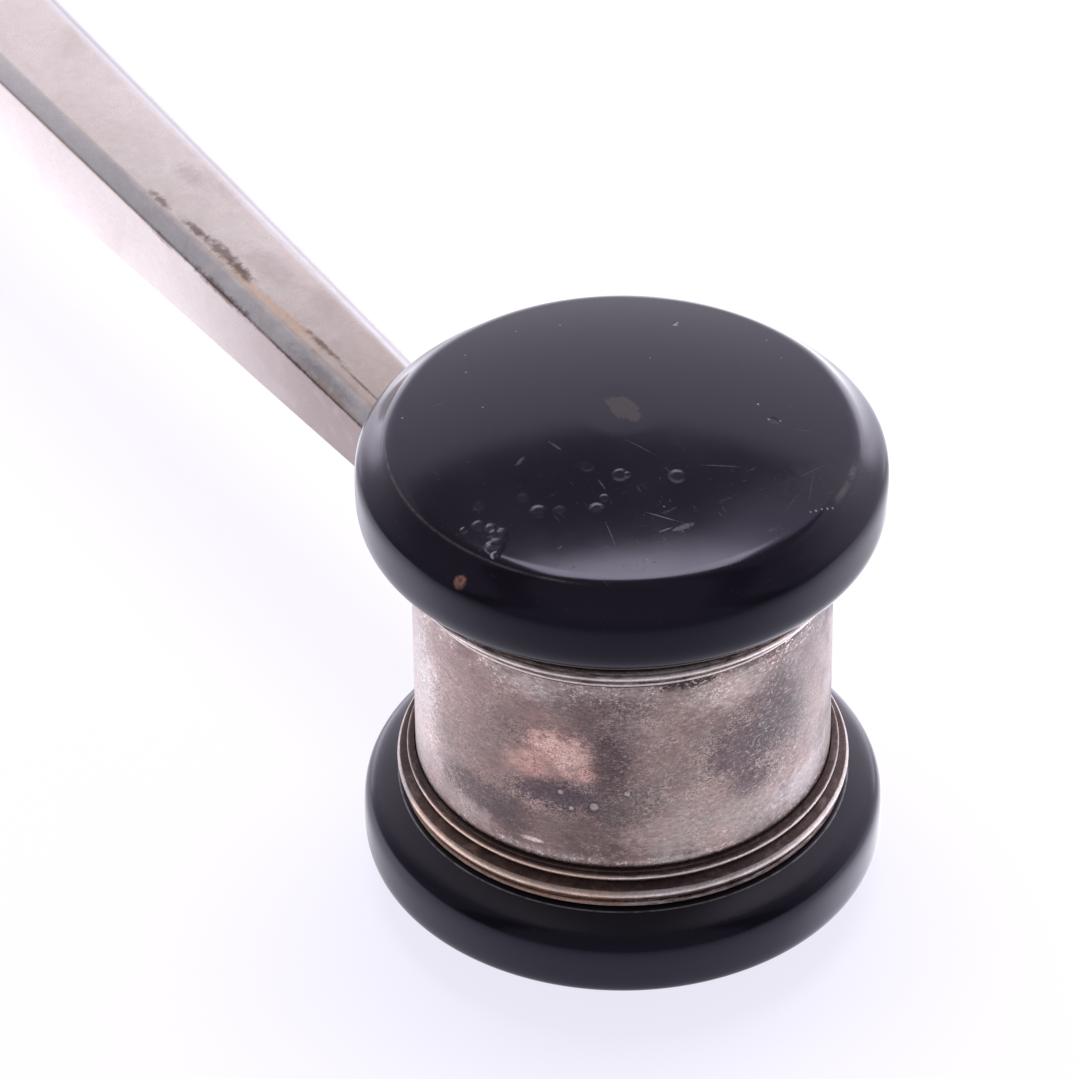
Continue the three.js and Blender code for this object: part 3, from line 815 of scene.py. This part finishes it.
def collar_plate(name, lower):
    """Tarnished plate on a collar: bead crowns painted bright, partly rubbed plate and partly a painted
    highlight; grooves dark with tarnish and painted shade; painted shade on the sides turned from 150
    degrees, and a painted shadow at its foot.
    """
    f = Plate(name, COLLAR_TONES, grain_size=0.25)
    z = f.axes()[2]
    streak = f.noise(0.2, 3, 0.65, (9, 9, 1))
    f.lay(DARK_STREAK, f.times(f.rise(streak, 0.52, 0.62), 0.75))
    f.lay(PALE_STREAK, f.times(f.rise(streak, 0.46, 0.38), 0.6))
    if lower:
        coppery = f.times(f.rise(f.towards(112), 19.5, 23.0), f.rise(f.mottle, 0.3, 0.5, 0.5, 1.0))
        f.lay(COPPERY_SIDE, f.times(coppery, 0.7))
        above_foot = f.less(z, CAP_THICKNESS + SEAT_GAP)
        split = f.near(above_foot, *LOWER_SPLIT)
        crown_rows = LOWER_CROWNS
    else:
        coppery = 0.0
        solder = f.patch(on_barrel(*SOLDER_PLACE), (5.5, 5.5, 1.5), 0.4, 1.8, f.ragged)
        f.lay(SOLDER, f.times(solder, 0.75))
        above_foot = f.less(HEAD_HEIGHT - CAP_THICKNESS - SEAT_GAP, z)
        second = f.times(f.near(above_foot, *UPPER_SECOND_SPLIT), 0.7)
        split = f.most(f.near(above_foot, *UPPER_SPLIT), second)
        crown_rows = UPPER_CROWNS
    rubbed_and_highlit_crowns = f.most(*[f.near(above_foot, *row) for row in crown_rows])
    root = f.rise(above_foot, COLLAR_HEIGHT - 0.48, COLLAR_HEIGHT - 0.36)
    # The grooves' darkness is tarnish packed in them and painted shade.
    dark_and_shaded_grooves = f.most(f.most(f.near(above_foot, *COVE_ROW), split), root)
    dirt = f.times(dark_and_shaded_grooves, f.rise(f.mottle, 0.3, 0.55, 0.65, 1.0))
    # Painted shade: the plate and its crowns darken the further they turn from 150 degrees round the head.
    f.base = f.tinted(f.base, f.rise(f.towards(150), 4, 19, 0.62, 1.0))
    # The crowns' pale colour is partly rubbed plate and partly a painted highlight.
    rubbed = f.colour(SILVER_CROWN_WEAR_AND_HIGHLIGHT, COPPERY_CROWN_WEAR_AND_HIGHLIGHT, coppery)
    rubbed = f.tinted(rubbed, f.rise(f.towards(150), 2, 17, 0.70, 1.0))
    f.lay(GROOVE_TARNISH_AND_SHADE, f.times(dirt, 0.92))
    f.lay(rubbed, f.times(rubbed_and_highlit_crowns, f.rise(f.mottle, 0.3, 0.6, 0.65, 1.0)))
    f.lay(FOOT_SHADOW, f.rise(above_foot, 0.40, 0.30))
    return f.finish_plate(dirt, 0.12, 0.16)


# Colours of the handle's faces, edges, stains and seats, the painted highlight on its near bevel, and how
# soft its marks' edges are
BROWNED_PLATE = (0.48, 0.395, 0.355)
NEAR_FACE = (0.62, 0.56, 0.545)
NEAR_FACE_BROWN = (0.29, 0.235, 0.225)
FAR_FACE = (0.52, 0.455, 0.425)
BEVEL_HIGHLIGHT = (0.80, 0.775, 0.79)
FAR_BEVEL = (0.66, 0.65, 0.66)
FAR_BEVEL_LINE = (0.42, 0.41, 0.42)
HAZE = (0.50, 0.43, 0.42)
SEAT_DIRT = (0.06, 0.05, 0.05)
MARK_EDGE = 0.75

# Marks on the handle: place, as millimetres along it, in from the upper edge on its +Y side and
# down from its top, then half-sizes, raggedness, colour and share
BROWN = (0.17, 0.115, 0.095)
ORANGE = (0.62, 0.43, 0.30)
SMOKE = (0.42, 0.355, 0.345)
HANDLE_MARKS = [
    ((98.4, 6.4, 0.0), (2.6, 1.2, 1.0), 1.96, SMOKE, 0.4),
    ((76.5, 4.9, 0.0), (4.2, 1.8, 1.0), 1.96, SMOKE, 0.35),
    ((66.0, 6.2, 0.0), (4.0, 1.4, 1.0), 1.96, SMOKE, 0.3),
    ((74.0, 0.7, 0.0), (11.0, 0.55, 0.6), 1.96, ORANGE, 0.55),
    ((66.0, 1.25, 0.0), (5.5, 0.28, 0.6), 1.96, ORANGE, 0.7),
    ((96.2, 0.75, 0.0), (1.8, 0.4, 0.6), 3.08, BROWN, 0.7),
    ((88.6, 1.0, 0.0), (2.2, 0.5, 0.6), 3.08, BROWN, 0.75),
    ((83.0, 1.45, 0.0), (3.4, 0.75, 0.6), 3.08, BROWN, 0.75),
    ((78.4, 1.25, 0.0), (2.0, 0.6, 0.6), 3.08, BROWN, 0.8),
    ((61.0, 1.65, 0.0), (3.6, 0.34, 0.6), 2.8, BROWN, 0.75),
    ((51.5, 1.35, 0.0), (4.2, 0.16, 0.6), 2.24, BROWN, 0.75),
    ((91.0, -2.3, 1.4), (3.0, 0.35, 0.35), 2.8, BROWN, 0.6),
    ((77.5, -2.2, 1.25), (5.4, 0.5, 0.45), 3.36, BROWN, 0.8),
    ((56.0, -2.2, 1.3), (10.0, 0.18, 0.22), 1.96, BROWN, 0.85),
    ((57.0, -1.2, 0.7), (5.5, 0.75, 0.5), 2.8, BROWN, 0.32),
    ((54.0, -1.9, 1.05), (5.0, 0.25, 0.22), 2.24, ORANGE, 0.6),
    ((110.0, -2.25, 1.3), (24.0, 0.22, 0.24), 2.24, ORANGE, 0.35),
]


def handle_edges(f, x, y, z):
    """Measures on the shaft: in from its +Y upper edge, beyond its -Y one and down from its top."""
    length = HANDLE_END - BARREL_RADIUS
    widening = (WIDTH_AT_END - WIDTH_AT_BARREL) / 2 / length
    half_width = WIDTH_AT_BARREL / 2 - widening * BARREL_RADIUS - CHAMFER_ACROSS
    edge = f.sum(f.times(x, widening), half_width)
    rising = (HEIGHT_AT_END - HEIGHT_AT_BARREL) / 2 / length
    top = f.sum(f.times(x, rising), HEAD_MIDDLE + HEIGHT_AT_BARREL / 2 - rising * BARREL_RADIUS)
    return f.less(edge, y), f.less(f.times(y, -1.0), edge), f.less(top, z)


def handle_plate(name):
    """Brighter plate on the handle, clean at its end, browner by the head, stained along its edges, with a
    painted highlight on its near bevel.
    """
    f = Plate(name, HANDLE_TONES, 1.6, 0.5)
    x, y, z = f.axes()
    inwards, beyond, down = handle_edges(f, x, y, z)
    where = f.node("CombineXYZ", {0: x, 1: inwards, 2: down}).outputs[0]

    f.lay(BROWNED_PLATE, f.times(f.rise(x, 84, 42), 0.85))
    near_face = f.rise(inwards, 0.15 - CHAMFER_ACROSS, -CHAMFER_ACROSS)
    f.lay(NEAR_FACE, f.times(near_face, 0.8))
    f.lay(NEAR_FACE_BROWN, f.times(near_face, f.rise(x, 96, 50)))
    upper = f.rise(down, CHAMFER_DOWN + 0.3, CHAMFER_DOWN - 0.1)
    # Painted highlight: the near bevel is painted paler along its middle.
    bevel_highlight = f.times(f.near(inwards, -1.15, 0.80, 0.42), upper)
    f.lay(BEVEL_HIGHLIGHT, f.times(bevel_highlight, 0.85))
    f.lay(FAR_BEVEL, f.times(f.times(f.rise(beyond, -0.1, 0.3), upper), 0.9))
    f.lay(FAR_BEVEL_LINE, f.times(f.times(f.near(beyond, 1.35, 0.12, 0.45), upper), 0.7))
    haze = f.rise(f.noise(7, 4, 0.6, distortion=0.6), 0.5, 0.64)
    f.lay(HAZE, f.times(f.times(haze, f.rise(x, 125, 95)), 0.22))
    far_face = f.rise(beyond, CHAMFER_ACROSS - 0.15, CHAMFER_ACROSS)
    f.lay(FAR_FACE, f.times(far_face, 0.75))
    blotch = f.noise(0.9, 4, 0.65)
    for centre, size, ragged, colour, share in HANDLE_MARKS:
        mark = f.patch(centre, size, MARK_EDGE, ragged, blotch, where)
        f.lay(colour, f.times(mark, share))
    dirt = f.rise(f.less(f.axis_radius(), BARREL_RADIUS), 0.9, 0.4)
    f.lay(SEAT_DIRT, f.times(dirt, 0.7))
    return f.finish_plate(dirt, 0.035, 0.05, 0.26, 0.32)


# Colours of the end cap's scuffs and knocks
END_SCUFF = (0.50, 0.465, 0.455)
END_KNOCK = (0.19, 0.145, 0.125)


def end_plate(name):
    """Duller plate on the end cap, scuffed and knocked from being set down, with dirt in its seat."""
    f = Plate(name, END_TONES, 1.0, 0.45)
    scuffed = f.rise(f.noise(0.5, 2, 0.5, (1, 9, 1), (0.6, 0, 0)), 0.62, 0.72)
    f.lay(END_SCUFF, f.times(scuffed, 0.5))
    knocked = f.rise(f.noise(2.2, 4, 0.65), 0.58, 0.66)
    f.lay(END_KNOCK, f.times(knocked, 0.7))
    dirt = f.near(f.axes()[0], HANDLE_END + SEAT_GAP, 0.1, 0.5)
    f.lay(SEAT_DIRT, f.times(dirt, 0.7))
    return f.finish_plate(dirt, 0.06, 0.10, 0.36, 0.46)


# Colours of the wood and steel inside
DARK_GRAIN = (0.20, 0.105, 0.05)
PALE_GRAIN = (0.36, 0.21, 0.11)
DARK_WOOD = (0.15, 0.075, 0.035)
STEEL = (0.36, 0.37, 0.38)
PALE_STEEL = (0.52, 0.53, 0.54)
STAINED_STEEL = (0.25, 0.22, 0.20)


def hidden_wood(name):
    """Plain turned hardwood, with its grain along the handle."""
    f = Finish(name)
    grain = f.noise(1.2, 5, 0.6, (12, 1, 1))
    f.base = f.colour(DARK_GRAIN, PALE_GRAIN, grain)
    f.lay(DARK_WOOD, f.rise(f.noise(6, 2), 0.5, 0.75, 0, 0.6))
    f.rough = f.rise(grain, 0.3, 0.7, 0.75, 0.6)
    f.height = f.times(grain, 0.04)
    return f.finish()


def bright_steel(name):
    """Turned steel with fine tool marks."""
    f = Finish(name)
    marks = f.noise(0.3, 3, 0.6, (1, 8, 8))
    f.base = f.colour(STEEL, PALE_STEEL, marks)
    f.lay(STAINED_STEEL, f.rise(f.noise(4, 2), 0.55, 0.75, 0, 0.5))
    f.rough = f.rise(marks, 0.3, 0.7, 0.5, 0.36)
    f.height = f.times(marks, 0.01)
    f.shader.inputs["Metallic"].default_value = 1.0
    return f.finish()


# Studio

# Towards the camera, level with the floor
FRONT = Vector((CAMERA_PLACE[0], CAMERA_PLACE[1], 0)).normalized()
UP = Vector((0, 0, 1))

# How bright the studio looks from the gavel, where 1 is white; the far floor's level is painted glow on its
# strips, seen only in reflections
WALL_LEVEL = 1.1
DIM_LEVEL = 0.22
DOORWAY_LEVEL = DIM_LEVEL * 0.35
STRIP_LEVEL = 1.7
FAR_FLOOR_LEVEL = 1.3
STUDIO_TINT = (1.0, 0.955, 1.07)

# Angles of the studio, in degrees: how far it is turned, how high it climbs and where it fades
WALL_TURN = -12
WALL_TOP = (43, 40)
PANEL_TURN = -40
PANEL_CLIMB = 54
PANEL_EDGE = (15, 8)
STRIP_TOP = (15, 3)
STRIP_INSIDE = (15, 23)
STRIP_OUTSIDE = 49
STRIP_FADE = 8
FLOOR_STRIP_OUTSIDE = 44
LAMP_TURN = 9

# The floor: its drop below the gavel and half its width, in metres; its glow and its paper, and
# the share of its white that is the lamp's and that a shadow takes away
FLOOR_DROP = 0.0002
FLOOR_SIZE = 4
FLOOR_GLOW = (0.80, 0.785, 0.88, 1)
FLOOR_PAPER = (0.8, 0.8, 0.8, 1)
LAMP_SHARE = 0.26

# Bands of painted glow on the near floor, seen only in reflections, across the line to the camera: start
# and end in metres, and change
FLOOR_BANDS = ((0, 0.03, 0.8), (0.045, 0.07, -0.75), (-0.005, -0.03, -0.1), (-0.045, -0.07, 0.25))


def behind(turn):
    """The level direction behind the gavel, turned by degrees round it."""
    return Matrix.Rotation(radians(turn), 3, "Z") @ -FRONT


class Studio(Nodes):
    """Node helpers for the world and the floor."""

    def climbs(self, upwards, none_at, all_at):
        """Goes from 0 to 1 as a direction climbs from one angle to another."""
        return self.rise(upwards, sin(radians(none_at)), sin(radians(all_at)))

    def within(self, along, none_at, all_at):
        """Goes from 0 to 1 as the angle between two directions goes from one to another."""
        return self.rise(along, cos(radians(none_at)), cos(radians(all_at)))

    def beside(self, sidelong, widest):
        """Two upright strips behind the gavel, one on each side of the line from the camera."""
        outer = self.within(sidelong, widest, widest - STRIP_FADE)
        return self.times(outer, self.within(sidelong, *STRIP_INSIDE))


def studio_world():
    """White to the camera; to the gavel, pale walls behind and beside it under a dim ceiling."""
    world = bpy.data.worlds.new("studio")
    bpy.context.scene.world = world
    world.use_nodes = True
    s = Studio(world.node_tree)
    direction = s.node("TexCoord", {}).outputs["Generated"]
    upwards = s.along(direction, UP)
    flat = s.unit(s.product(direction, (1, 1, 0)))

    backwards = s.rise(s.along(direction, behind(WALL_TURN)), -0.05, 0.75)
    wall = s.times(s.climbs(upwards, *WALL_TOP), backwards)
    aside = behind(PANEL_TURN) * cos(radians(PANEL_CLIMB)) + UP * sin(radians(PANEL_CLIMB))
    panel = s.within(s.along(direction, aside), *PANEL_EDGE)
    facing = s.along(flat, FRONT)
    doorway = s.times(s.rise(facing, 0.28, 0.42), s.rise(facing, 0.72, 0.60))
    dim = s.rise(doorway, 0.0, 1.0, DIM_LEVEL, DOORWAY_LEVEL)
    lit = {"Value": s.most(wall, panel), "To Min": dim, "To Max": WALL_LEVEL}
    strips = s.beside(s.along(flat, -FRONT), STRIP_OUTSIDE)
    strips = s.times(strips, s.climbs(upwards, *STRIP_TOP))
    level = s.sum(s.node("MapRange", lit).outputs[0], s.times(strips, STRIP_LEVEL))

    tint = {0: level, 6: (0, 0, 0, 1), 7: (*STUDIO_TINT, 1)}
    tinted = s.node("Mix", tint, data_type="RGBA", clamp_factor=False)
    studio = s.node("Background", {"Color": tinted.outputs[2], "Strength": 1.0})
    white = s.node("Background", {"Color": (1, 1, 1, 1), "Strength": 1.0})
    to_camera = s.node("LightPath", {}).outputs["Is Camera Ray"]
    shown = s.node("MixShader", {0: to_camera, 1: studio.outputs[0], 2: white.outputs[0]})
    s.node("OutputWorld", {0: shown.outputs[0]})


def overhead_softbox():
    """The one lamp: a level soft box above the gavel and a little behind it."""
    lamp = bpy.data.lights.new("overhead_softbox", "AREA")
    lamp.shape = "RECTANGLE"
    lamp.size = 1.35
    lamp.size_y = 0.8
    lamp.energy = 22
    lamp.color = (1.0, 0.955, 0.96)
    holder = bpy.data.objects.new("overhead_softbox", lamp)
    bpy.context.scene.collection.objects.link(holder)
    backwards = behind(LAMP_TURN)
    sideways = backwards.cross(UP)
    holder.location = backwards * 0.40 + sideways * 0.14 + UP * 1.9
    holder.rotation_mode = "QUATERNION"
    holder.rotation_quaternion = Matrix((sideways, backwards, UP)).transposed().to_quaternion()
    holder.visible_camera = False


def pale_floor():
    """A wide pale floor that is white to the camera and keeps the gavel's shadow."""
    mesh = bmesh.new()
    bmesh.ops.create_grid(mesh, x_segments=1, y_segments=1, size=FLOOR_SIZE)
    data = bpy.data.meshes.new("floor")
    mesh.to_mesh(data)
    mesh.free()
    floor = bpy.data.objects.new("floor", data)
    bpy.context.scene.collection.objects.link(floor)
    floor.location = (0, 0, -FLOOR_DROP)
    data.materials.append(floor_material())


def floor_material():
    """Paper that is white to the camera, and glows in painted paler and darker parts for what mirrors it:
    painted light and shade.
    """
    material = bpy.data.materials.new("pale_floor")
    material.use_nodes = True
    s = Studio(material.node_tree)
    path = s.node("LightPath", {})
    place = s.node("TexCoord", {}).outputs["Object"]
    forwards = s.along(place, FRONT)
    # Painted light and shade for mirrored rays: the floor's glow by place, with bands and far strips.
    near = s.rise(forwards, 0.09, -0.01, 0.0, 0.62)
    far = s.rise(forwards, 0.20, 0.03, 0.22, 0.60)
    painted_glow = s.sum(near, far)
    across = s.along(place, UP.cross(FRONT))
    near_floor = s.rise(forwards, 0.03, 0.012)
    for start, end, change in FLOOR_BANDS:
        painted_glow = s.sum(painted_glow, s.times(near_floor, s.rise(across, start, end, 0, change)))
    strips = s.beside(s.along(s.unit(place), -FRONT), FLOOR_STRIP_OUTSIDE)
    far_glow_strips = s.times(strips, s.rise(s.length(place), 0.088, 0.115))
    painted_glow = s.sum(painted_glow, s.times(far_glow_strips, FAR_FLOOR_LEVEL))

    to_camera = path.outputs["Is Camera Ray"]
    mirrored = s.most(path.outputs["Is Glossy Ray"], path.outputs["Is Transmission Ray"])
    level = s.most(to_camera, s.times(mirrored, painted_glow))
    shown = {0: s.most(to_camera, mirrored), 6: FLOOR_PAPER, 7: s.times(level, LAMP_SHARE)}
    paper = s.node("Mix", shown, data_type="RGBA")
    diffuse = s.node("BsdfDiffuse", {"Color": paper.outputs[2]})
    glow = s.node("Emission", {"Color": FLOOR_GLOW, "Strength": level})
    both = s.node("AddShader", {0: diffuse.outputs[0], 1: glow.outputs[0]})
    s.node("OutputMaterial", {0: both.outputs[0]})
    return material


def camera():
    """The camera, where the photograph was taken from."""
    lens = bpy.data.cameras.new("camera")
    lens.lens = CAMERA_LENS
    lens.sensor_width = 36
    lens.clip_start = 0.01
    lens.clip_end = 20
    holder = bpy.data.objects.new("camera", lens)
    bpy.context.scene.collection.objects.link(holder)
    place, aim = Vector(CAMERA_PLACE) * MM, Vector(CAMERA_AIM) * MM
    holder.location = place
    roll = Quaternion((0, 0, 1), -radians(CAMERA_ROLL))
    holder.rotation_mode = "QUATERNION"
    holder.rotation_quaternion = (aim - place).to_track_quat("-Z", "Y") @ roll
    bpy.context.scene.camera = holder


# The gavel, put together

camera()

upper_black = black_polish("black_polish_upper", worn_face=True)
lower_black = black_polish("black_polish_lower", worn_face=False)
barrel_silver = barrel_plate("barrel_silver")
lower_silver = collar_plate("lower_collar_silver", lower=True)
upper_silver = collar_plate("upper_collar_silver", lower=False)
handle_silver = handle_plate("handle_silver")
end_silver = end_plate("end_silver")
core_wood = hidden_wood("core_wood")
rod_steel = bright_steel("rod_steel")

lower_seat = CAP_THICKNESS + SEAT_GAP
upper_seat = HEAD_HEIGHT - lower_seat
lower_cap = moved_up(striking_cap(), 0)
upper_cap = moved_up(striking_cap(), HEAD_HEIGHT, True)
lower_collar = moved_up(reeded_collar(), lower_seat)
upper_collar = moved_up(reeded_collar(), upper_seat, True)
barrel = moved_up(barrel_sleeve(), HEAD_MIDDLE)

# Each piece: its mesh, its name, its slot, its CAD node and its material
pieces = [
    (lower_cap, "lower_cap", "ebonised_wood", "lower_striking_cap", lower_black),
    (upper_cap, "upper_cap", "ebonised_wood", "upper_striking_cap", upper_black),
    (lower_collar, "lower_reeded_collar", "silver_plate", "lower_collar", lower_silver),
    (upper_collar, "upper_reeded_collar", "silver_plate", "upper_collar", upper_silver),
    (barrel, "plated_barrel", "silver_plate", "barrel_sleeve", barrel_silver),
    (handle_ferrule(), "ferrule", "silver_plate", "handle_ferrule", handle_silver),
    (handle_shaft(), "silver_shaft", "silver_plate", "handle_shaft", handle_silver),
    (handle_end_cap(), "end_cap", "silver_plate", "handle_end_cap", end_silver),
]
for mesh, name, slot, node, material in pieces:
    finished(mesh, name, slot, node).data.materials.append(material)

# The CAD pieces that stay as they are, inside the head and the handle
hidden = {
    "head_core": core_wood, "handle_core": core_wood, "tang_anchor": rod_steel,
    "handle_tang": rod_steel, "tang_washer": rod_steel, "tang_nut": rod_steel,
}
for node, material in hidden.items():
    for material_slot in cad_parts[node].material_slots:
        material_slot.material = material

pale_floor()
studio_world()
overhead_softbox()
bpy.context.scene.view_settings.view_transform = "Standard"
